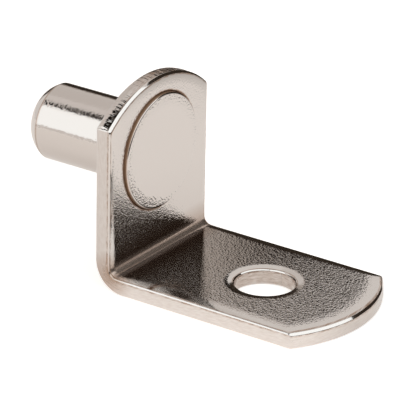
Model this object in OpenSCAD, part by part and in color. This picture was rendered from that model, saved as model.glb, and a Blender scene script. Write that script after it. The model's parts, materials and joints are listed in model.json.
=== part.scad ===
// Shelf support: a folded steel bracket with a headed pin set through its wall leg.
// The origin is on the pin's axis, where the pin leaves the bracket's back face.
// +Y runs along the pin into the cabinet side, +Z is up and X runs across the strip.

/* [Strip] */
// Width of the folded strip
strip_w = 13.4; // [12:0.1:18]
// Thickness of the steel
strip_t = 1.4; // [1:0.05:1.8]

/* [Wall leg] */
// Height of the wall leg, from the underside of the shelf leg to the top of its arc
wall_leg_h = 16.3; // [15.6:0.1:30]
// Radius of the wall leg's arced top
wall_arc_r = 10; // [9.3:0.1:20]

/* [Shelf leg] */
// Reach of the shelf leg, from the back face to the end of its arc
shelf_leg_l = 20.8; // [19:0.1:40]
// Radius of the shelf leg's arced end
shelf_arc_r = 10.9; // [9.3:0.1:20]

/* [Fold] */
// Outside radius of the fold
fold_out_r = 2.6; // [1.8:0.05:3]
// Inside radius of the fold
fold_in_r = 0.6; // [0.4:0.05:1.4]

/* [Edges] */
// Width of the slope that the punch leaves along the upper edges
roll_w = 0.85; // [0.4:0.05:1.2]
// Depth of that slope at the edge
roll_h = 0.12; // [0.05:0.01:0.2]
// Radius of the tumbled edges
edge_r = 0.18; // [0.08:0.01:0.25]

/* [Screw hole] */
// Diameter of the screw hole
screw_d = 4.8; // [3.5:0.1:5.5]
// Distance from the back face to the axis of the screw hole
screw_reach = 11.7; // [10:0.1:13]

/* [Pin] */
// Diameter of the pin
pin_d = 6.35; // [5:0.05:7]
// Reach of the pin behind the back face
pin_l = 9.65; // [6:0.05:16]
// Height of the pin's axis above the underside of the shelf leg
pin_h = 10; // [8.8:0.1:10.3]
// Length of the chamfer at the pin's tip
tip_l = 1.05; // [0.3:0.05:2]
// Depth of that chamfer, off the radius
tip_h = 0.8; // [0.2:0.05:1.5]
// Step up from the shank to the land that is pressed into the wall leg
land_h = 0.2; // [0.16:0.01:0.3]

/* [Head] */
// Diameter of the pin's head
head_d = 9.5; // [8:0.1:10.3]
// Height of the head above its seat
head_t = 0.9; // [0.8:0.05:1.2]
// Depth of the seat that the head is set into
seat_h = 0.6; // [0.3:0.05:0.7]
// Radius of the head's rounded rim
rim_r = 0.25; // [0.1:0.05:0.4]

/* [Fits] */
// Gap around the land in its hole
land_gap = 0.02; // [0.01:0.01:0.1]
// Gap around the head in its seat
head_gap = 0.1; // [0.05:0.01:0.2]

/* [Hidden] */
$fn = 96;
// How far a cutter reaches past what it cuts
over = 0.35;
half_w = strip_w / 2;
floor_z = -pin_h;
top_z = floor_z + wall_leg_h;
shelf_z = floor_z + strip_t;
// Middles of the two end arcs
wall_arc_z = top_z - wall_arc_r;
shelf_arc_y = shelf_arc_r - shelf_leg_l;
// Middles of the fold's outside and inside radii
fold_out_z = floor_z + fold_out_r;
fold_in_y = -strip_t - fold_in_r;
fold_in_z = shelf_z + fold_in_r;
// Along the pin: the seat in the front face, and the face of the head
seat_y = seat_h - strip_t;
head_y = seat_y - head_t;
land_r = pin_d / 2 + land_h;

// What is left outside a quarter circle in the corner of two walls
module corner(r, past = 0) {
    difference() {
        translate([-past, -past]) square(r + past);
        translate([r, r]) circle(r);
    }
}

// Section of the folded strip, with the reach along X and the height along Y
module fold_section() {
    difference() {
        translate([-shelf_leg_l, floor_z]) square([shelf_leg_l, wall_leg_h]);
        difference() {
            translate([-shelf_leg_l - over, shelf_z])
                square([shelf_leg_l + over - strip_t, wall_leg_h]);
            translate([-strip_t, shelf_z]) mirror([1, 0]) corner(fold_in_r);
        }
        translate([0, floor_z]) mirror([1, 0]) corner(fold_out_r, over);
    }
}

// What the punch and the tumbling take off an edge, with the steel at -X and -Y of it
module worn_edge(slope_w = 0, slope_h = 0) {
    difference() {
        polygon([
            [-max(slope_w, edge_r), 0], [-max(slope_w, edge_r), over], [over, over],
            [over, -slope_h - edge_r], [-edge_r, -slope_h - edge_r], [-edge_r, -slope_h]
        ]);
        translate([-edge_r, -slope_h - edge_r]) circle(edge_r);
    }
}

module punched_edge() { worn_edge(roll_w, roll_h); }

// Worn edges down both sides of a flat leg, from the fold on: X across, Y along, Z through it
module leg_sides(front_start, back_start, end) {
    for (side = [0, 1]) mirror([side, 0, 0]) {
        translate([half_w, end, strip_t]) rotate([90, 0, 0])
            linear_extrude(end - front_start) punched_edge();
        translate([half_w, end, 0]) rotate([90, 0, 0])
            linear_extrude(end - back_start) mirror([0, 1]) worn_edge();
    }
}

// Cuts a leg's end to an arc about the origin, and wears the arc's edges
module leg_end(r) {
    difference() {
        translate([-half_w - over, 0, -over])
            cube([strip_w + 2 * over, r + over, strip_t + 2 * over]);
        translate([0, 0, -2 * over]) cylinder(r = r, h = strip_t + 4 * over);
    }
    rotate_extrude(angle = 180) {
        translate([r, strip_t]) punched_edge();
        translate([r, 0]) mirror([0, 1]) worn_edge();
    }
}

// Worn edges round the fold, about the middles of its two radii
module fold_sides() {
    for (side = [0, 1]) mirror([side, 0, 0]) {
        translate([0, -fold_out_r, fold_out_z]) rotate([90, 0, 90])
            rotate([0, 0, -90]) rotate_extrude(angle = 90)
                translate([fold_out_r, half_w]) worn_edge();
        translate([0, fold_in_y, fold_in_z]) rotate([90, 0, 90])
            rotate([0, 0, -90]) rotate_extrude(angle = 90)
                translate([fold_in_r, half_w]) rotate(90) punched_edge();
    }
}

module screw_hole() {
    translate([0, 0, -over]) cylinder(d = screw_d, h = strip_t + 2 * over);
    rotate_extrude() {
        translate([screw_d / 2, strip_t]) mirror([1, 0]) punched_edge();
        translate([screw_d / 2, 0]) mirror([1, 0]) mirror([0, 1]) worn_edge();
    }
}

// The pin's hole with the seat for its head, along +Z from the front face
module pin_hole() {
    translate([0, 0, -over]) cylinder(d = head_d + 2 * head_gap, h = seat_h + over);
    cylinder(r = land_r + land_gap, h = strip_t + over);
}

module bracket() {
    color("silver") difference() {
        translate([-half_w, 0, 0]) rotate([90, 0, 90]) linear_extrude(strip_w) fold_section();
        translate([0, 0, wall_arc_z]) rotate([90, 0, 0]) leg_end(wall_arc_r);
        translate([0, shelf_arc_y, floor_z]) rotate([0, 0, 180]) leg_end(shelf_arc_r);
        rotate([90, 0, 0]) leg_sides(fold_in_z, fold_out_z, top_z + over);
        translate([0, 0, floor_z]) rotate([0, 0, 180])
            leg_sides(-fold_in_y, fold_out_r, shelf_leg_l + over);
        fold_sides();
        translate([0, -screw_reach, floor_z]) screw_hole();
        translate([0, -strip_t, 0]) rotate([-90, 0, 0]) pin_hole();
    }
}

// Half section of the headed pin, with the radius along X and the length along Y
module pin_section() {
    translate([0, head_y + rim_r]) square([head_d / 2, head_t - rim_r]);
    translate([0, head_y]) square([head_d / 2 - rim_r, head_t]);
    translate([head_d / 2 - rim_r, head_y + rim_r]) circle(rim_r);
    translate([0, head_y]) square([land_r, -head_y]);
    translate([0, head_y]) square([pin_d / 2, pin_l - tip_l - head_y]);
    polygon([
        [0, head_y], [pin_d / 2, pin_l - tip_l],
        [pin_d / 2 - tip_h, pin_l], [0, pin_l]
    ]);
}

module pin() {
    color("gainsboro") rotate([-90, 0, 0]) rotate_extrude() pin_section();
}

bracket();
pin();
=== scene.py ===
import json
import math
from collections import namedtuple

import bmesh
import bpy
from mathutils import Matrix, Vector


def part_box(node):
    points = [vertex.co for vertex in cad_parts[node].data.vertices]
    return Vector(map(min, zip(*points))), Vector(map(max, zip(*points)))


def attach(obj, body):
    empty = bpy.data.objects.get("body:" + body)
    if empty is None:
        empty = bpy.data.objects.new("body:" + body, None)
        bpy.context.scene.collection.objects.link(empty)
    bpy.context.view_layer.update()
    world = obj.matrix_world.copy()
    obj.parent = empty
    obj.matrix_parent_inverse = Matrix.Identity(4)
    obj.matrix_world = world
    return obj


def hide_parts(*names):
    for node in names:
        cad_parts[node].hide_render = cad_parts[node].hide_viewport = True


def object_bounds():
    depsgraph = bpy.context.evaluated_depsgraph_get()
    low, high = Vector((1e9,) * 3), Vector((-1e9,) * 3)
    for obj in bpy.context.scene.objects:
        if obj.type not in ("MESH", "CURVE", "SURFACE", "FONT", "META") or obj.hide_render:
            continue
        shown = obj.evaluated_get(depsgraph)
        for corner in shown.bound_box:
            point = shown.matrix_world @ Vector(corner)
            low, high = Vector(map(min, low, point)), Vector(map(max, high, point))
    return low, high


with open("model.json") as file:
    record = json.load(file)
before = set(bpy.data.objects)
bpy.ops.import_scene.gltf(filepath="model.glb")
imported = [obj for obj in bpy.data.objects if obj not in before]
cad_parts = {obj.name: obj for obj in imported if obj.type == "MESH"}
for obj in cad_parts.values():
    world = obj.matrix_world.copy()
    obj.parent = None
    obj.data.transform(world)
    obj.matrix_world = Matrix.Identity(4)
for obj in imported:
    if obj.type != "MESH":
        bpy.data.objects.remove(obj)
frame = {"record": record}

cad_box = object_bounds()

# Sizes are in millimetres, and MM turns them into Blender's metres
MM = 0.001

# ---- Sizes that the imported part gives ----

mounts = {mount["name"]: mount for mount in frame["record"]["mounts"]}
strip_lo, strip_hi = [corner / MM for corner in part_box("bracket")]
pin_lo, pin_hi = [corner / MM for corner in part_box("pin")]

half_w = strip_hi.x
floor_z = strip_lo.z
strip_t = mounts["shelf_seat"]["pos_m"][2] / MM - floor_z
screw_y = mounts["screw_hole"]["pos_m"][1] / MM
screw_r = mounts["screw_hole"]["dims"]["r_mm"]
shank_r = mounts["pin"]["dims"]["r_mm"]
shank_l = mounts["pin"]["dims"]["length_mm"]
head_y = pin_lo.y
tip_y = pin_hi.y

# ---- Sizes of the pin's form ----

HEAD_T = 0.9
HEAD_R = 4.79
# Radius of the rim's rounding, and how far from the rim the face's last ring lies
RIM_R = 0.14
RIM_CLEAR_W = 1.5 * RIM_R
# The head's face is level to here, and then falls away to its rim
CROWN_R = 3.6
CROWN_H = 0.03
# Radii of the rings that the level part of the face is made of
FACE_RINGS = [1, 2.5]
# The pin's land is this much wider than its shank
LAND_STEP = 0.2
PIN_LAND_R = shank_r + LAND_STEP
TIP_H = 0.8
# How far the tip's chamfer swells past straight, and the radii of its two edges
TIP_SWELL = 0.08
TIP_LINE_R = 0.03
TIP_EDGE_R = 0.12

# ---- Sizes of the strip's form ----

WALL_ARC_R = 10
SHELF_ARC_R = 10.9
FOLD_OUT_R = 2.6
FOLD_IN_R = 0.6
# Radius of the corners where the sides meet the end arcs, and how fast it grows with the inset
SHOULDER_R = 0.15
SHOULDER_GROWTH = 1.2
# The slope that the punch draws down along the upper edges
ROLL_W = 0.85
ROLL_H = 0.12
ROLL_POWER = 1.6
# How much wider that slope is along each leg's left side, right side and arc
WALL_SPREADS = (0.5, 0.5, 1.25)
SHELF_SPREADS = (1.9, 1.2, 2.6)
# Length past the fold over which the sides' slope comes to that width
SPREAD_RUN = 4
# Tumbling leaves a facet on the upper edges: its width, its height and its corners' radius
FULL_FACET = (0.17, 0.21, 0.1)
SLIGHT_FACET = (0.08, 0.1, 0.08)
# The sides have the slight facet. The end arcs have the full one on the left, and it fades
# from the middle to the right, to this share of it and at this share of the half width
RIGHT_FACET_SHARE = 0.3
RIGHT_FACET_START = 0.7
# Behind the facet the slope counts as straight over this length
BROW_RUN = 0.1
# Tumbling rounds the lower edges to this radius
UNDER_R = 0.17
# The punch breaks through below this height, and leaves a taper of this width there
BREAK_H = 0.45
BREAK_W = 0.03
# How far the sheared band above that leans in towards the upper face
LEAN_W = 0.04
# A flat rim round each level face, which keeps its shading level
MARGIN = 0.08
# The seat for the pin's head and the hole for its land, with a gap round each
HEAD_GAP = 0.05
LAND_GAP = 0.02
SEAT_R = HEAD_R + HEAD_GAP
SEAT_H = 0.6
SEAT_EDGE_R = 0.11
LAND_R = PIN_LAND_R + LAND_GAP

# ---- How finely curves are cut ----

ARC_STEPS = 120
CORNER_STEPS = 8
SIDE_STEPS = 12
ROLL_STEPS = 14
SHEAR_STEPS = 4
TAPER_STEPS = 3
FOLD_STEPS = 48
FOLD_COLUMNS = 14
ROUND_STEPS = 192
CROWN_STEPS = 16
SHANK_STEPS = 4
SWELL_STEPS = 10
TIP_LINE_STEPS = 3
TABLE_STEPS = 96
# A ridge sharper than this, in degrees, is shaded as two faces
SHARP_ANGLE = 50
# Points this near a level face lie on it
ON_LEVEL = 0.0001

# ---- Where the plate is worn, and where shade is painted on it ----

# How far each place is brown, from 0 to 1: tarnish on the cut faces, tarnish and painted shade
# along the facets' two lines, painted shade in the screw hole and in the mouth of the head's
# seat, and tarnish on the pin's shank and along its chamfer's line
CUT_TARNISH = 0.1
LINE_TARNISH_AND_SHADE = 0.55
BORE_SHADE = 0.3
MOUTH_SHADE = 0.8
SHANK_TARNISH = 0.09
TIP_LINE_TARNISH = 0.6
# How many points of a facet's corner its line takes up
LINE_POINTS = 3
# The wall leg's arc is dirtier: it starts to be this far left of its crown, and stops being
# so this far from its right side
CROWN_TARNISH = 0.45
CROWN_TARNISH_W = 3
CROWN_CLEAR_W = 0.5
# How far the painted shade of the seam round the head spreads over the front face
SEAT_SHADE_W = 0.09
# The wall leg's arc has the punch's streaks in full, and the other cut faces this share of them
FAINT_STREAKS = 0.4
# How fast the head's grain fades from the edge of its face inwards
HEAD_GRAIN_POWER = 6


def steps(start, end, count):
    """Evenly spaced values from start to end, both included"""
    return [start + (end - start) * i / count for i in range(count + 1)]


def once_round(count):
    """Evenly spaced angles once round a circle"""
    return steps(0, 2 * math.pi, count)[:-1]


def held(value):
    """A value held between 0 and 1"""
    return min(1, max(0, value))


# ---- Meshes ----


class Skin:
    """Points and faces of one piece, gathered row by row in millimetres"""

    def __init__(self):
        self.points = []
        self.faces = []
        self.cuts = []
        self.grains = []
        self.tarnish_and_shade_values = []

    def add(self, points, cuts=None, grain=1, tarnish_and_shade_values=None):
        """Adds a row of points, with its places on a cut face, its grain and its tarnish and
        painted shade
        """
        first = len(self.points)
        self.points += [Vector(point) for point in points]
        count = len(self.points) - first
        self.cuts += cuts or [(0, 0, 0)] * count
        self.grains += [grain] * count
        self.tarnish_and_shade_values += tarnish_and_shade_values or [0] * count
        return list(range(first, len(self.points)))

    def band(self, near, far, closed):
        """Joins two rows of as many points with four-sided faces"""
        count = len(near) if closed else len(near) - 1
        for i in range(count):
            j = (i + 1) % len(near)
            self.faces.append((near[i], near[j], far[j], far[i]))

    def bands(self, rows, closed):
        for near, far in zip(rows, rows[1:]):
            self.band(near, far, closed)

    def mesh(self, name, flats=()):
        """Makes the object, and fills each flat, given as its axis and its level"""
        shape = bmesh.new()
        points = [shape.verts.new(point * MM) for point in self.points]
        for face in self.faces:
            shape.faces.new([points[i] for i in face])
        for axis, level in flats:
            edges = [
                edge
                for edge in shape.edges
                if edge.is_boundary
                and all(abs(v.co[axis] - level * MM) < ON_LEVEL * MM for v in edge.verts)
            ]
            bmesh.ops.triangle_fill(shape, edges=edges, use_beauty=True)
        bmesh.ops.recalc_face_normals(shape, faces=shape.faces)
        data = bpy.data.meshes.new(name)
        shape.to_mesh(data)
        shape.free()
        data.shade_smooth()
        data.set_sharp_from_angle(angle=math.radians(SHARP_ANGLE))
        cut_edge = data.attributes.new("cut_edge", "FLOAT_VECTOR", "POINT")
        cut_edge.data.foreach_set("vector", [value for cut in self.cuts for value in cut])
        for label, values in (("grain", self.grains), ("tarnish", self.tarnish_and_shade_values)):
            data.attributes.new(label, "FLOAT", "POINT").data.foreach_set("value", values)
        piece = bpy.data.objects.new(name, data)
        bpy.context.scene.collection.objects.link(piece)
        return piece


# ---- Sections ----

# A point of an edge's section: how far in from the edge it lies, its height off the lower face,
# how much the grain shows there, whether it is on a cut face, and its share of tarnish and
# painted shade
EdgePoint = namedtuple("EdgePoint", "inset height grain cut tarnish", defaults=(0, 0, 0))


def rounded(corner, before, after, radius, count):
    """Points of the arc that rounds a corner between two straight runs"""
    to_before = (before - corner).normalized()
    to_after = (after - corner).normalized()
    half = to_before.angle(to_after) / 2
    reach = radius / math.tan(half)
    middle = corner + (to_before + to_after).normalized() * (radius / math.sin(half))
    start = corner + to_before * reach - middle
    end = corner + to_after * reach - middle
    turn = start.angle_signed(end)
    arc = []
    for angle in steps(0, -turn, count):
        c, s = math.cos(angle), math.sin(angle)
        arc.append(middle + Vector((start.x * c - start.y * s, start.x * s + start.y * c)))
    return arc


def roll_drop(inset):
    """How far the punch has drawn the upper face down at an inset from the edge"""
    return ROLL_H * max(0, 1 - inset / ROLL_W) ** ROLL_POWER


def punched_section(facet):
    """The points of a punched edge, from the upper face round to the underside

    The grain fades out half-way down the slope, and both lines along the facet are tarnished and
    painted dark as shade beside the facet's highlight.
    """
    facet_w, facet_h, facet_r = facet
    facet_in = facet_w + LEAN_W
    brow, behind = [
        Vector((inset, strip_t - roll_drop(inset))) for inset in (facet_in, facet_in + BROW_RUN)
    ]
    foot = Vector((LEAN_W, brow.y - facet_h))
    brow_arc = rounded(brow, behind, foot, facet_r, CORNER_STEPS)
    foot_arc = rounded(foot, brow, Vector((0, BREAK_H)), facet_r, CORNER_STEPS)
    upper_face = EdgePoint(ROLL_W + MARGIN, strip_t, grain=1)
    slope = [
        EdgePoint(inset, strip_t - roll_drop(inset), grain=max(0, 2 * inset / ROLL_W - 1))
        for inset in steps(ROLL_W, brow_arc[0].x, ROLL_STEPS)[:-1]
    ]
    slope[-1] = slope[-1]._replace(grain=0, tarnish=LINE_TARNISH_AND_SHADE)
    corners = [(point, i < LINE_POINTS) for i, point in enumerate(brow_arc)]
    corners += [(point, i > CORNER_STEPS - LINE_POINTS) for i, point in enumerate(foot_arc)]
    worn = [EdgePoint(*point, tarnish=LINE_TARNISH_AND_SHADE * on_line) for point, on_line in corners]
    sheared = [
        (LEAN_W * (height - BREAK_H) / (foot.y - BREAK_H), height)
        for height in steps(foot_arc[-1].y, BREAK_H, SHEAR_STEPS)[1:]
    ]
    taper = [
        (BREAK_W * (BREAK_H - height) / (BREAK_H - UNDER_R), height)
        for height in steps(BREAK_H, UNDER_R, TAPER_STEPS)[1:]
    ]
    cut_face = [EdgePoint(*place, cut=1, tarnish=CUT_TARNISH) for place in sheared + taper]
    under = [
        EdgePoint(BREAK_W + UNDER_R * (1 - math.cos(angle)), UNDER_R * (1 - math.sin(angle)))
        for angle in steps(0, math.pi / 2, CORNER_STEPS)[1:]
    ]
    lower_face = EdgePoint(BREAK_W + UNDER_R + MARGIN, 0, grain=1)
    return [upper_face] + slope + worn + cut_face + under + [lower_face]


def seat_section():
    """The points of the head's seat, from the front face in and through to the back"""
    mouth = []
    for share in steps(0, 1, CORNER_STEPS):
        angle = share * math.pi / 2
        inset = SEAT_EDGE_R * (1 - math.sin(angle))
        height = strip_t - SEAT_EDGE_R * (1 - math.cos(angle))
        # Painted shade of the seam round the head: its mouth goes from partly brown to full brown
        # inwards
        tarnish = MOUTH_SHADE + (1 - MOUTH_SHADE) * share
        mouth.append(EdgePoint(inset, height, grain=1, tarnish=tarnish))
    floor = strip_t - SEAT_H
    land = LAND_R - SEAT_R
    front_face = EdgePoint(SEAT_EDGE_R + SEAT_SHADE_W, strip_t, grain=1)
    corners = ((0, floor), (land, floor), (land, 0))
    # The seat's floor and the land's hole are painted full brown as shade
    inside = [EdgePoint(*corner, grain=1, tarnish=1) for corner in corners]
    back_face = EdgePoint(land + MARGIN, 0, grain=1)
    return [front_face] + mouth + inside + [back_face]


# ---- The bracket ----

fold_z = floor_z + FOLD_OUT_R
fold_y = -FOLD_OUT_R
# Middles of the end arcs, along each leg from the end of the fold
wall_arc_v = strip_hi.z - WALL_ARC_R - fold_z
shelf_arc_v = fold_y - strip_lo.y - SHELF_ARC_R


def on_wall(across, along, height):
    """A point of the wall leg, from its start above the fold and its height off the back face"""
    return (across, -height, fold_z + along)


def on_shelf(across, along, height):
    """A point of the shelf leg, from its start past the fold and its height off the underside"""
    return (across, fold_y - along, floor_z + height)


def spread_out(inset, spread):
    """An inset past the facet, widened as the slope is widened"""
    return inset + (spread - 1) * max(0, inset - FULL_FACET[0] - LEAN_W)


def facet_share(across):
    """How far an end arc's facet goes from slight to full, at a place across it"""
    return 1 - (1 - RIGHT_FACET_SHARE) * held(across / (RIGHT_FACET_START * half_w))


def mixed(slight, full, share):
    """The inset and the height of an edge's point, part of the way from slight to full"""
    inset = slight.inset + (full.inset - slight.inset) * share
    return inset, slight.height + (full.height - slight.height) * share


def leg_side(arc_r, arc_v, slight, full, side_spread, arc_spread, share):
    """One side of a leg's outline with its shoulder, and the angle at which the arc starts"""
    inset, height = mixed(slight, full, share)
    side = half_w - spread_out(slight.inset, side_spread)
    worn_r = arc_r - spread_out(inset, arc_spread)
    corner = SHOULDER_R + SHOULDER_GROWTH * inset
    # The shoulder's circle touches the side and the arc from inside
    corner_u = side - corner
    rise = math.sqrt((worn_r - corner) ** 2 - corner_u**2)
    corner_v = arc_v + rise
    turn = math.atan2(rise, corner_u)
    points = []
    for v in steps(MARGIN, corner_v, SIDE_STEPS):
        widening = min(1, (v - MARGIN) / SPREAD_RUN)
        across = half_w - spread_out(slight.inset, 1 + (side_spread - 1) * widening)
        points.append((across, v, slight.height))
    for part in steps(0, 1, CORNER_STEPS)[1:]:
        across = corner_u + corner * math.cos(part * turn)
        along = corner_v + corner * math.sin(part * turn)
        points.append((across, along, slight.height + (height - slight.height) * part))
    return points, turn


def leg_outline(arc_r, arc_v, slight, full, spreads):
    """A leg's outline, from the right side round its end arc to the left

    slight and full are one point of the edge's section with each facet. The outline's points
    are given as across, along and height.
    """
    left_spread, right_spread, arc_spread = spreads
    sides = [
        leg_side(arc_r, arc_v, slight, full, side_spread, arc_spread, facet_share(across))
        for side_spread, across in ((right_spread, half_w), (left_spread, -half_w))
    ]
    (right, start), (left, end) = sides
    arc = []
    for angle in steps(start, math.pi - end, ARC_STEPS)[1:-1]:
        inset, height = mixed(slight, full, facet_share(arc_r * math.cos(angle)))
        worn_r = arc_r - spread_out(inset, arc_spread)
        arc.append((worn_r * math.cos(angle), arc_v + worn_r * math.sin(angle), height))
    return right + arc + [(-across, along, height) for across, along, height in reversed(left)]


def on_bend(middle_y, middle_z, radius, angle):
    """A point (y, z) of a bend in the strip, by its angle on down from the wall leg"""
    return Vector((middle_y + radius * math.cos(angle), middle_z - radius * math.sin(angle)))


def fold_stations():
    """Pairs of outer and inner points, as (y, z), through the strip and on down round the fold"""
    inner_y, inner_z = -strip_t - FOLD_IN_R, floor_z + strip_t + FOLD_IN_R
    straight = fold_z - inner_z
    bend = FOLD_IN_R * math.pi / 2
    stations = []
    for share in steps(0, 1, FOLD_STEPS):
        outer = on_bend(fold_y, fold_z, FOLD_OUT_R, share * math.pi / 2)
        run = share * (2 * straight + bend)
        turn = min(max(run - straight, 0), bend) / FOLD_IN_R
        inner = on_bend(inner_y, inner_z, FOLD_IN_R, turn)
        inner.y += max(straight - run, 0)
        inner.x -= max(run - straight - bend, 0)
        stations.append((outer, inner))
    return stations


def run_lengths(points):
    """How far along a row each of its points lies"""
    runs = [0]
    for near, far in zip(points, points[1:]):
        runs.append(runs[-1] + (Vector(far) - Vector(near)).length)
    return runs


def crown_stain(across, side):
    """How much dirtier the wall leg's arc is, at a place across it"""
    if across >= side - CROWN_CLEAR_W:
        return 0
    return CROWN_TARNISH * held(1 + across / CROWN_TARNISH_W)


def outline_ring(skin, slight, full, stations):
    """One closed row round the whole strip, and its left and right points from leg to leg

    slight and full are one point of the edge's section with each facet.
    """
    side = half_w - slight.inset
    bend = [outer.lerp(inner, slight.height / strip_t) for outer, inner in stations]
    left, right = [[(across, *point) for point in bend] for across in (-side, side)]
    wall = leg_outline(WALL_ARC_R, wall_arc_v, slight, full, WALL_SPREADS)
    shelf = leg_outline(SHELF_ARC_R, shelf_arc_v, slight, full, SHELF_SPREADS)
    loop = [on_wall(*place) for place in wall] + left
    loop += [on_shelf(*place) for place in shelf[::-1]] + right[::-1]
    # The wall leg's arc and shoulders lie between the points of its two sides
    wall_arc = range(SIDE_STEPS + 1, len(wall) - SIDE_STEPS - 1)
    cuts = [
        (run, slight.height, full.cut * (1 if i in wall_arc else FAINT_STREAKS))
        for i, run in enumerate(run_lengths(loop))
    ]
    tarnish_and_shade_values = [full.tarnish] * len(loop)
    for i, place in enumerate(wall):
        tarnish_and_shade_values[i] += full.cut * crown_stain(place[0], side)
    ring = skin.add(loop, cuts, full.grain, tarnish_and_shade_values)
    # Down each side of the fold, with the points of the legs at both its ends
    left_end = len(wall) + len(left)
    right_start = left_end + len(shelf)
    left_side = ring[len(wall) - 1 : left_end + 1]
    right_side = [ring[0]] + ring[right_start - 1 :][::-1]
    return ring, left_side, right_side


def fold_face(skin, left, right):
    """Covers the fold from side to side, between the left and right points of a row"""
    rows = []
    for near, far in zip(left, right):
        between = [
            skin.points[near].lerp(skin.points[far], share)
            for share in steps(0, 1, FOLD_COLUMNS)[1:-1]
        ]
        rows.append([near] + skin.add(between) + [far])
    skin.bands(rows, closed=False)


def hole_wall(skin, place, along, hole_r, section):
    """The wall of a round hole in a leg, from a section whose insets are off the hole's radius"""
    rings = []
    for point in section:
        radius = hole_r + point.inset
        ring, cuts = [], []
        for angle in once_round(ROUND_STEPS):
            across, ahead = radius * math.cos(angle), radius * math.sin(angle)
            ring.append(place(across, along + ahead, point.height))
            cuts.append((radius * angle, point.height, point.cut * FAINT_STREAKS))
        rings.append(skin.add(ring, cuts, point.grain, [point.tarnish] * ROUND_STEPS))
    skin.bands(rings, closed=True)


def make_bracket():
    """The folded strip, with its screw hole and the seat and hole for the pin"""
    skin = Skin()
    slight_section, full_section = punched_section(SLIGHT_FACET), punched_section(FULL_FACET)
    stations = fold_stations()
    rings = [
        outline_ring(skin, slight, full, stations)
        for slight, full in zip(slight_section, full_section)
    ]
    skin.bands([ring for ring, _, _ in rings], closed=True)
    for _, left, right in (rings[0], rings[-1]):
        fold_face(skin, left, right)
    # The screw hole's cut face is painted brown as shade inside the hole
    bore = [
        point._replace(tarnish=BORE_SHADE) if point.cut else point for point in slight_section
    ]
    hole_wall(skin, on_shelf, fold_y - screw_y, screw_r, bore)
    hole_wall(skin, on_wall, -fold_z, SEAT_R, seat_section())
    y, z = 1, 2
    flats = [(y, -strip_t), (y, 0), (z, floor_z + strip_t), (z, floor_z)]
    return skin.mesh("bracket_skin", flats)


# ---- The pin ----


def pin_section():
    """Places (radius, y) with their grain and their tarnish and painted shade, from the head's
    face round to the tip's
    """
    under_y = head_y + HEAD_T
    face = [
        Vector((radius, head_y + CROWN_H * max(0, (radius - CROWN_R) / (HEAD_R - CROWN_R)) ** 2))
        for radius in FACE_RINGS + steps(CROWN_R, HEAD_R - RIM_CLEAR_W, CROWN_STEPS)
    ]
    brow = Vector((HEAD_R, head_y + CROWN_H))
    rim = rounded(brow, face[-1], Vector((HEAD_R, under_y)), RIM_R, CORNER_STEPS)
    land = [(HEAD_R, under_y), (PIN_LAND_R, under_y), (PIN_LAND_R, 0), (shank_r, 0)]
    shank = [Vector((shank_r, y)) for y in steps(MARGIN, shank_l - 2 * MARGIN, SHANK_STEPS)]
    # The chamfer is a straight run with a parabola's swell on it
    start, end = Vector((shank_r, shank_l)), Vector((shank_r - TIP_H, tip_y))
    run = end - start
    out = Vector((run.y, -run.x)).normalized()
    chamfer = [
        start.lerp(end, share) + out * TIP_SWELL * 4 * share * (1 - share)
        for share in steps(0, 1, SWELL_STEPS)
    ]
    line = rounded(start, Vector((shank_r, 0)), chamfer[1], TIP_LINE_R, TIP_LINE_STEPS)
    edge = rounded(end, chamfer[-2], Vector((0, tip_y)), TIP_EDGE_R, CORNER_STEPS)
    tip = chamfer[1:-1] + edge + [Vector((edge[-1].x - MARGIN, tip_y))]
    section = [(point, (point.x / HEAD_R) ** HEAD_GRAIN_POWER, 0) for point in face]
    # The rim is painted brown towards the seam, and the land full brown, as shade of the seam
    # round the head
    section += [(point, 0, (i / CORNER_STEPS) ** 2) for i, point in enumerate(rim)]
    section += [(Vector(place), 0, 1) for place in land]
    section += [(point, 1, SHANK_TARNISH) for point in shank]
    section += [(point, 1, TIP_LINE_TARNISH) for point in line]
    return section + [(point, 1, 0) for point in tip]


def make_pin():
    """The headed pin, turned about its axis"""
    skin = Skin()
    rings = []
    for point, grain, tarnish in pin_section():
        ring = [
            (point.x * math.cos(angle), point.y, point.x * math.sin(angle))
            for angle in once_round(ROUND_STEPS)
        ]
        rings.append(skin.add(ring, grain=grain, tarnish_and_shade_values=[tarnish] * ROUND_STEPS))
    skin.bands(rings, closed=True)
    skin.faces += [tuple(rings[0]), tuple(rings[-1])]
    return skin.mesh("pin_skin")


# ---- Materials ----

NICKEL = "#d7d0cb"
# Bright plate is nearly a mirror
NICKEL_ROUGHNESS = 0.08
# The brown of tarnish, which is also painted as shade in the seams, along the fold and in the
# screw hole
TARNISH_AND_SHADE = "#9c7a60"
# The grain of tumbled steel is taken to be this wide, a usual size. That is too fine to show,
# so it is drawn coarser by these factors: on the shelf leg, the rest of the strip and the pin
STEEL_GRAIN_MM = 0.05
SHELF_COARSER, WALL_COARSER, PIN_COARSER = 3.4, 2.4, 3.8
# Heights above the underside between which the shelf leg's grain gives way to the rest
GRAIN_CHANGE = (1.6, 2.6)
# One finer layer of noise lies on the grain
GRAIN_DETAIL = 1.0
# How deep the grain is: a sum of terms, each of which goes along an axis from one place and
# the depth there to another. The strip has a term for each leg, and the pin's goes from the
# head to the shank
STRIP_GRAIN = [("Y", -15, 0.022, -7, 0.01), ("Z", -8, 0, -5, 0.014)]
PIN_GRAIN = [("Y", -1.6, 0.09, -0.5, 0.008)]
# The streaks that the punch leaves: their width along the outline, their length through the
# strip's thickness, and their depth
STREAK_SIZE = (0.28, 2.24)
STREAK_DEPTH_MM = 0.09
# The patches of tarnish on the cut faces: their length along the outline, and their height
MOTTLE_SIZE = (0.6, 0.15)
# Where their noise goes over this range, the tarnish goes over these shares of itself
MOTTLE_NOISE = (0.3, 0.7)
MOTTLE_SHARES = (0.2, 1.8)
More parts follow.
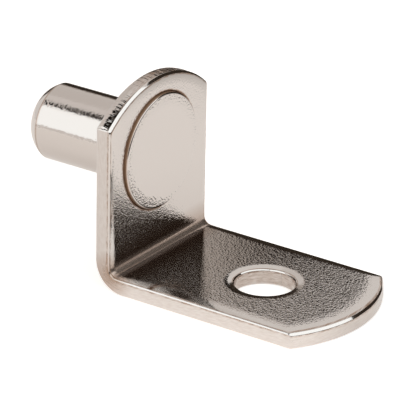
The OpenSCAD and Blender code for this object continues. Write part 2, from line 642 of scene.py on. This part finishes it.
# Painted brown shade inside the fold is this strong, and fades between these distances from it
FOLD_SHADE = 0.6
FOLD_SHADE_RUN = (0.3, 2.2)
# From this much tarnish and painted shade on, the plate turns from a metal to a rough brown, by
# these much
DULL_START = 0.4
DULLNESS = 0.7
DULL_ROUGHNESS = 0.35


def linear(hex_colour):
    """An sRGB hex colour as linear red, green, blue and a full alpha"""
    channels = [int(hex_colour[i : i + 2], 16) / 255 for i in (1, 3, 5)]
    return [c / 12.92 if c <= 0.04045 else ((c + 0.055) / 1.055) ** 2.4 for c in channels] + [1]


def add(tree, kind, inputs=None, **settings):
    """Adds a node with its settings, and sets or links its inputs"""
    node = tree.nodes.new(kind)
    for name, value in settings.items():
        setattr(node, name, value)
    for name, value in (inputs or {}).items():
        if isinstance(value, bpy.types.NodeSocket):
            tree.links.new(value, node.inputs[name])
        else:
            node.inputs[name].default_value = value
    return node


def new_material(name):
    material = bpy.data.materials.new(name)
    material.use_nodes = True
    tree = material.node_tree
    tree.nodes.clear()
    return material, tree


def grain_height(tree, in_mm, low_grain_mm, grain_mm, depths):
    """The height of the steel's grain, in millimetres"""
    along = add(tree, "ShaderNodeSeparateXYZ", {0: in_mm}).outputs
    depth = 0.0
    for axis, near, near_depth, far, far_depth in depths:
        term = add(
            tree, "ShaderNodeMapRange",
            {
                "Value": along[axis], "From Min": near, "From Max": far,
                "To Min": near_depth, "To Max": far_depth,
            },
        ).outputs[0]
        depth = add(tree, "ShaderNodeMath", {0: term, 1: depth}).outputs[0]
    low, high = [floor_z + height for height in GRAIN_CHANGE]
    scale = add(
        tree, "ShaderNodeMapRange",
        {
            "Value": along["Z"], "From Min": low, "From Max": high,
            "To Min": 1 / low_grain_mm, "To Max": 1 / grain_mm,
        },
    ).outputs[0]
    noise = add(
        tree, "ShaderNodeTexNoise", {"Vector": in_mm, "Scale": scale, "Detail": GRAIN_DETAIL}
    ).outputs[0]
    return add(tree, "ShaderNodeMath", {0: noise, 1: depth}, operation="MULTIPLY").outputs[0]


def cut_face_noise(tree, cut_edge, size):
    """Noise on the cut faces, by its size along the outline and through the thickness"""
    along, through = size
    place = add(
        tree, "ShaderNodeVectorMath", {0: cut_edge, 1: (1 / along, 1 / through, 0)},
        operation="MULTIPLY",
    ).outputs[0]
    return add(tree, "ShaderNodeTexNoise", {"Vector": place, "Scale": 1.0}).outputs[0]


def fold_shade(tree, in_mm):
    """Painted brown shade on both sides of the line inside the fold"""
    from_fold = add(
        tree, "ShaderNodeVectorMath", {0: in_mm, 1: (0, -strip_t, floor_z + strip_t)},
        operation="SUBTRACT",
    ).outputs[0]
    in_section = add(
        tree, "ShaderNodeVectorMath", {0: from_fold, 1: (0, 1, 1)}, operation="MULTIPLY"
    ).outputs[0]
    off_fold = add(tree, "ShaderNodeVectorMath", {0: in_section}, operation="LENGTH")
    near, far = FOLD_SHADE_RUN
    return add(
        tree, "ShaderNodeMapRange",
        {
            "Value": off_fold.outputs["Value"], "From Min": near, "From Max": far,
            "To Min": FOLD_SHADE, "To Max": 0,
        },
    ).outputs[0]


def nickel_plate(name, low_grain_mm, grain_mm, depths):
    """Bright nickel plate over tumbled steel, with the grain's size low down and above that

    It gives the eye a warm grey mirror, which the steel's grain breaks up. Cut faces show the
    punch's streaks through it. Where it is tarnished it is brown and dull, and it is painted
    brown and dull as shade in the seams, the fold and the screw hole.
    """
    material, tree = new_material(name)
    place = add(tree, "ShaderNodeTexCoord").outputs["Object"]
    in_mm = add(
        tree, "ShaderNodeVectorMath", {0: place, "Scale": 1 / MM}, operation="SCALE"
    ).outputs[0]
    grain = grain_height(tree, in_mm, low_grain_mm, grain_mm, depths)
    grain_share = add(tree, "ShaderNodeAttribute", attribute_name="grain").outputs["Fac"]
    grained = add(
        tree, "ShaderNodeBump", {"Height": grain, "Strength": grain_share, "Distance": MM}
    ).outputs[0]
    cut_edge = add(tree, "ShaderNodeAttribute", attribute_name="cut_edge").outputs["Vector"]
    cut = add(tree, "ShaderNodeSeparateXYZ", {0: cut_edge}).outputs["Z"]
    streaked = add(
        tree, "ShaderNodeBump",
        {
            "Height": cut_face_noise(tree, cut_edge, STREAK_SIZE), "Strength": cut,
            "Distance": STREAK_DEPTH_MM * MM, "Normal": grained,
        },
    ).outputs[0]
    tarnish = add(tree, "ShaderNodeAttribute", attribute_name="tarnish").outputs["Fac"]
    (noise_low, noise_high), (lightest, heaviest) = MOTTLE_NOISE, MOTTLE_SHARES
    patchy = add(
        tree, "ShaderNodeMapRange",
        {
            "Value": cut_face_noise(tree, cut_edge, MOTTLE_SIZE),
            "From Min": noise_low, "From Max": noise_high,
            "To Min": lightest, "To Max": heaviest,
        },
    ).outputs[0]
    # Tarnish, together with the painted shade of the seams, the screw hole, the facets' lines and
    # the fold
    stain_and_shade = add(
        tree, "ShaderNodeMath", {0: tarnish, 1: patchy, 2: fold_shade(tree, in_mm)},
        operation="MULTIPLY_ADD",
    ).outputs[0]
    colour = add(
        tree, "ShaderNodeMix", {0: stain_and_shade, 6: linear(NICKEL), 7: linear(TARNISH_AND_SHADE)},
        data_type="RGBA",
    ).outputs[2]
    dulled = add(
        tree, "ShaderNodeMapRange", {"Value": stain_and_shade, "From Min": DULL_START, "From Max": 1.0}
    ).outputs[0]
    metal = add(
        tree, "ShaderNodeMath", {0: dulled, 1: -DULLNESS, 2: 1.0}, operation="MULTIPLY_ADD"
    ).outputs[0]
    rough = add(
        tree, "ShaderNodeMath", {0: dulled, 1: DULL_ROUGHNESS, 2: NICKEL_ROUGHNESS},
        operation="MULTIPLY_ADD",
    ).outputs[0]
    shader = add(
        tree, "ShaderNodeBsdfPrincipled",
        {"Base Color": colour, "Metallic": metal, "Roughness": rough, "Normal": streaked},
    ).outputs[0]
    add(tree, "ShaderNodeOutputMaterial", {"Surface": shader})
    return material


# ---- The camera ----

# Its place, as angles in degrees round from the front and above the table, and its roll
CAMERA_PLACE = (-55.818, 23.831, 1.165)
CAMERA_DISTANCE = 280.94
# What it looks at, off the middle of the object's box
CAMERA_AIM = (-0.37, -0.806, -1.719)
CAMERA_LENS = 307.98
# The nearest and farthest that it sees, in metres
CAMERA_RANGE = (0.01, 10)


def make_camera():
    camera = bpy.data.objects.new("camera", bpy.data.cameras.new("camera"))
    azimuth, elevation, roll = (math.radians(angle) for angle in CAMERA_PLACE)
    back = Vector((
        math.sin(azimuth) * math.cos(elevation),
        -math.cos(azimuth) * math.cos(elevation),
        math.sin(elevation),
    ))
    aim = (cad_box[0] + cad_box[1]) / 2 + Vector(CAMERA_AIM) * MM
    camera.location = aim + back * CAMERA_DISTANCE * MM
    turn = (-back).to_track_quat("-Z", "Y").to_matrix()
    camera.rotation_euler = (turn @ Matrix.Rotation(roll, 3, "Z")).to_euler()
    camera.data.lens = CAMERA_LENS
    camera.data.clip_start, camera.data.clip_end = CAMERA_RANGE
    bpy.context.scene.collection.objects.link(camera)
    bpy.context.scene.camera = camera


# ---- The studio ----

# The world behind the cards, for the camera and for everything else
BACKDROP = "#ffffff"
ROOM = "#ece9e6"
SOFTBOX, SOFTBOX_STRENGTH = "#f7fdff", 1.5
DARK, DARKER, DARKEST = "#362e27", "#211a16", "#1f1a17"
HALF_DARK = "#b0a8a1"
PALE, HALF_PALE = "#dedad6", "#cbc6c1"


def direction(azimuth, elevation):
    """A unit vector by its angle round from +X and its angle above the table, in degrees"""
    a, e = math.radians(azimuth), math.radians(elevation)
    return Vector((math.cos(a) * math.cos(e), math.sin(a) * math.cos(e), math.sin(e)))


def glow_material(name, colour, strength):
    """A softbox's cloth or a painted board, which shows the metal one even colour"""
    material, tree = new_material(name)
    glow = add(
        tree, "ShaderNodeEmission", {"Color": linear(colour), "Strength": strength}
    ).outputs[0]
    add(tree, "ShaderNodeOutputMaterial", {"Surface": glow})
    return material


def make_card(name, corners, material):
    """A flat card in the studio, which the camera doesn't see"""
    data = bpy.data.meshes.new(name)
    data.from_pydata([tuple(corner * MM) for corner in corners], [], [tuple(range(len(corners)))])
    data.materials.append(material)
    card = bpy.data.objects.new(name, data)
    card.visible_camera = False
    bpy.context.scene.collection.objects.link(card)
    return card


def hang_card(name, distance, corners, colour, strength=1.0):
    """A card that hangs round the object, with its corners given as azimuth and elevation"""
    points = [direction(azimuth, elevation) * distance for azimuth, elevation in corners]
    make_card(name, points, glow_material(name, colour, strength))


def make_world():
    world = bpy.data.worlds.new("studio")
    world.use_nodes = True
    tree = world.node_tree
    tree.nodes.clear()
    ray = add(tree, "ShaderNodeLightPath").outputs["Is Camera Ray"]
    colour = add(
        tree, "ShaderNodeMix", {0: ray, 6: linear(ROOM), 7: linear(BACKDROP)}, data_type="RGBA"
    ).outputs[2]
    glow = add(tree, "ShaderNodeBackground", {"Color": colour, "Strength": 1.0}).outputs[0]
    add(tree, "ShaderNodeOutputWorld", {"Surface": glow})
    bpy.context.scene.world = world


# ---- The table ----

TABLE_R = 120
# It lies this far under the strip, so that no two faces share a place
TABLE_GAP = 0.01
TABLE_PAINT = "#f8f1ec"
# In the metal the table shows this painted shade far out at the right, which comes in between
# these places across
TABLE_SHADE = "#5e554d"
SHADE_RUN = (30, 80)
# For the camera it glows this much, which lifts it to white but leaves the object's shadow
CAMERA_GLOW = 0.5
# In the metal it glows by the first amount at the origin and behind it, and by the second from
# one step in front of it on. A step is this long, and leans this share of that to the right
FRONT_GLOW = (0.2, 0.26)
FRONT_STEP = 15
FRONT_LEAN = 0.1
# Near the object's left it glows by this much more. That comes up between these steps to the
# front and between these places across, and goes down between two others across
LEFT_GLOW = 0.25
LEFT_GLOW_START = (-0.25, 0.1)
LEFT_GLOW_UP = (-14, -7)
LEFT_GLOW_DOWN = (-6, 0)


def reflected_glow(tree, place, across):
    """How much the table glows in the metal, at a place on it"""
    step = FRONT_STEP * MM
    front = add(
        tree, "ShaderNodeVectorMath", {0: place, 1: (FRONT_LEAN / step, -1.0 / step, 0)},
        operation="DOT_PRODUCT",
    ).outputs["Value"]
    first, second = FRONT_GLOW
    front_glow = add(
        tree, "ShaderNodeMapRange",
        {"Value": front, "From Min": 0, "To Min": first, "To Max": second},
    ).outputs[0]
    start, full = LEFT_GLOW_START
    left_glow = add(
        tree, "ShaderNodeMapRange",
        {"Value": front, "From Min": start, "From Max": full, "To Max": LEFT_GLOW},
    ).outputs[0]
    start, full = [x * MM for x in LEFT_GLOW_UP]
    left_glow = add(
        tree, "ShaderNodeMapRange",
        {"Value": across, "From Min": start, "From Max": full, "To Max": left_glow},
    ).outputs[0]
    full, end = [x * MM for x in LEFT_GLOW_DOWN]
    left_glow = add(
        tree, "ShaderNodeMapRange",
        {"Value": across, "From Min": full, "From Max": end, "To Min": left_glow, "To Max": 0},
    ).outputs[0]
    return add(tree, "ShaderNodeMath", {0: front_glow, 1: left_glow}).outputs[0]


def table_paint():
    """Matt white paint on board, lifted to white for the camera, with painted shade at the right
    in the metal
    """
    material, tree = new_material("white_table")
    place = add(tree, "ShaderNodeTexCoord").outputs["Object"]
    across = add(tree, "ShaderNodeSeparateXYZ", {0: place}).outputs["X"]
    path = add(tree, "ShaderNodeLightPath").outputs
    start, end = [x * MM for x in SHADE_RUN]
    far = add(
        tree, "ShaderNodeMapRange", {"Value": across, "From Min": start, "From Max": end}
    ).outputs[0]
    shaded = add(
        tree, "ShaderNodeMath", {0: far, 1: path["Is Glossy Ray"]}, operation="MULTIPLY"
    ).outputs[0]
    colour = add(
        tree, "ShaderNodeMix", {0: shaded, 6: linear(TABLE_PAINT), 7: linear(TABLE_SHADE)},
        data_type="RGBA",
    ).outputs[2]
    for_camera = add(
        tree, "ShaderNodeMath", {0: path["Is Camera Ray"], 1: CAMERA_GLOW}, operation="MULTIPLY"
    ).outputs[0]
    strength = add(
        tree, "ShaderNodeMath",
        {0: path["Is Glossy Ray"], 1: reflected_glow(tree, place, across), 2: for_camera},
        operation="MULTIPLY_ADD",
    ).outputs[0]
    paint = add(tree, "ShaderNodeBsdfDiffuse", {"Color": colour}).outputs[0]
    glow = add(tree, "ShaderNodeEmission", {"Strength": strength}).outputs[0]
    both = add(tree, "ShaderNodeAddShader", {0: paint, 1: glow}).outputs[0]
    add(tree, "ShaderNodeOutputMaterial", {"Surface": both})
    return material


def make_table():
    z = floor_z - TABLE_GAP
    rim = [
        Vector((TABLE_R * math.cos(angle), TABLE_R * math.sin(angle), z))
        for angle in once_round(TABLE_STEPS)
    ]
    make_card("table", rim, table_paint()).visible_camera = True


def make_studio():
    """Lights at the left and the front, and dark and pale cards that shape what the metal shows

    A large flat card lies nearer in its middle than at its corners, so a small one that shows
    in front of it hangs much closer.
    """
    make_world()
    make_table()
    hang_card(
        "left_softbox", 400, [(126, 1), (196, 1), (196, 55), (126, 51)],
        SOFTBOX, SOFTBOX_STRENGTH,
    )
    hang_card(
        "front_softbox", 400,
        [(-160, 14), (-50, 14), (-47, 22), (-42, 33), (-37, 47), (-45, 64), (-160, 64)],
        SOFTBOX, SOFTBOX_STRENGTH,
    )
    hang_card("front_apron", 402, [(-160, -14), (-48, -14), (-48, 15), (-160, 15)], DARK)
    hang_card("ceiling_gap", 396, [(azimuth, 68) for azimuth in range(-180, 180, 30)], DARK)
    hang_card(
        "top_gap", 390,
        [
            (74, 66), (80, 61.5), (92, 61), (104, 58), (112, 52.5), (121, 47.5), (126, 48),
            (136, 56), (130, 72), (90, 76),
        ],
        DARKEST,
    )
    hang_card(
        "dark_flag", 380,
        [
            (-48, -9), (-12, -9), (5, -20), (62, -20), (60, 10), (40, 15), (35, 18),
            (32.3, 19.5), (32.1, 27.8), (27.2, 27.8), (27, 20), (15, 22), (11, 32), (4, 40),
            (-10, 46), (-35, 47), (-40, 33), (-48, 22), (-51, 14),
        ],
        DARK,
    )
    hang_card("dark_tongue", 200, [(25.3, 18), (30.6, 17), (30.4, 26.8), (25.3, 26.8)], DARKER)
    hang_card("low_window", 150, [(-48, -12), (-37, -12), (-37, 10), (-48, 10)], HALF_PALE)
    hang_card("right_wall", 388, [(34, 20), (80, 20), (80, 56), (44, 50), (36, 38)], PALE)
    hang_card(
        "flag_edge", 385, [(62, 0), (62, 16), (42, 25), (36, 29), (32, 31), (31, 20)], HALF_DARK
    )


# ---- The whole scene ----

make_camera()
bracket = make_bracket()
pin = make_pin()
shelf_grain_mm, wall_grain_mm, pin_grain_mm = [
    coarser * STEEL_GRAIN_MM for coarser in (SHELF_COARSER, WALL_COARSER, PIN_COARSER)
]
nickel_strip = nickel_plate("nickel_strip", shelf_grain_mm, wall_grain_mm, STRIP_GRAIN)
nickel_pin = nickel_plate("nickel_pin", pin_grain_mm, pin_grain_mm, PIN_GRAIN)
bracket.data.materials.append(nickel_strip)
pin.data.materials.append(nickel_pin)
for piece, node, slot in ((bracket, "bracket", "plated_strip"), (pin, "pin", "plated_pin")):
    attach(piece, "root")
    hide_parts(node)
make_studio()

scene = bpy.context.scene
scene.view_settings.view_transform = "Standard"
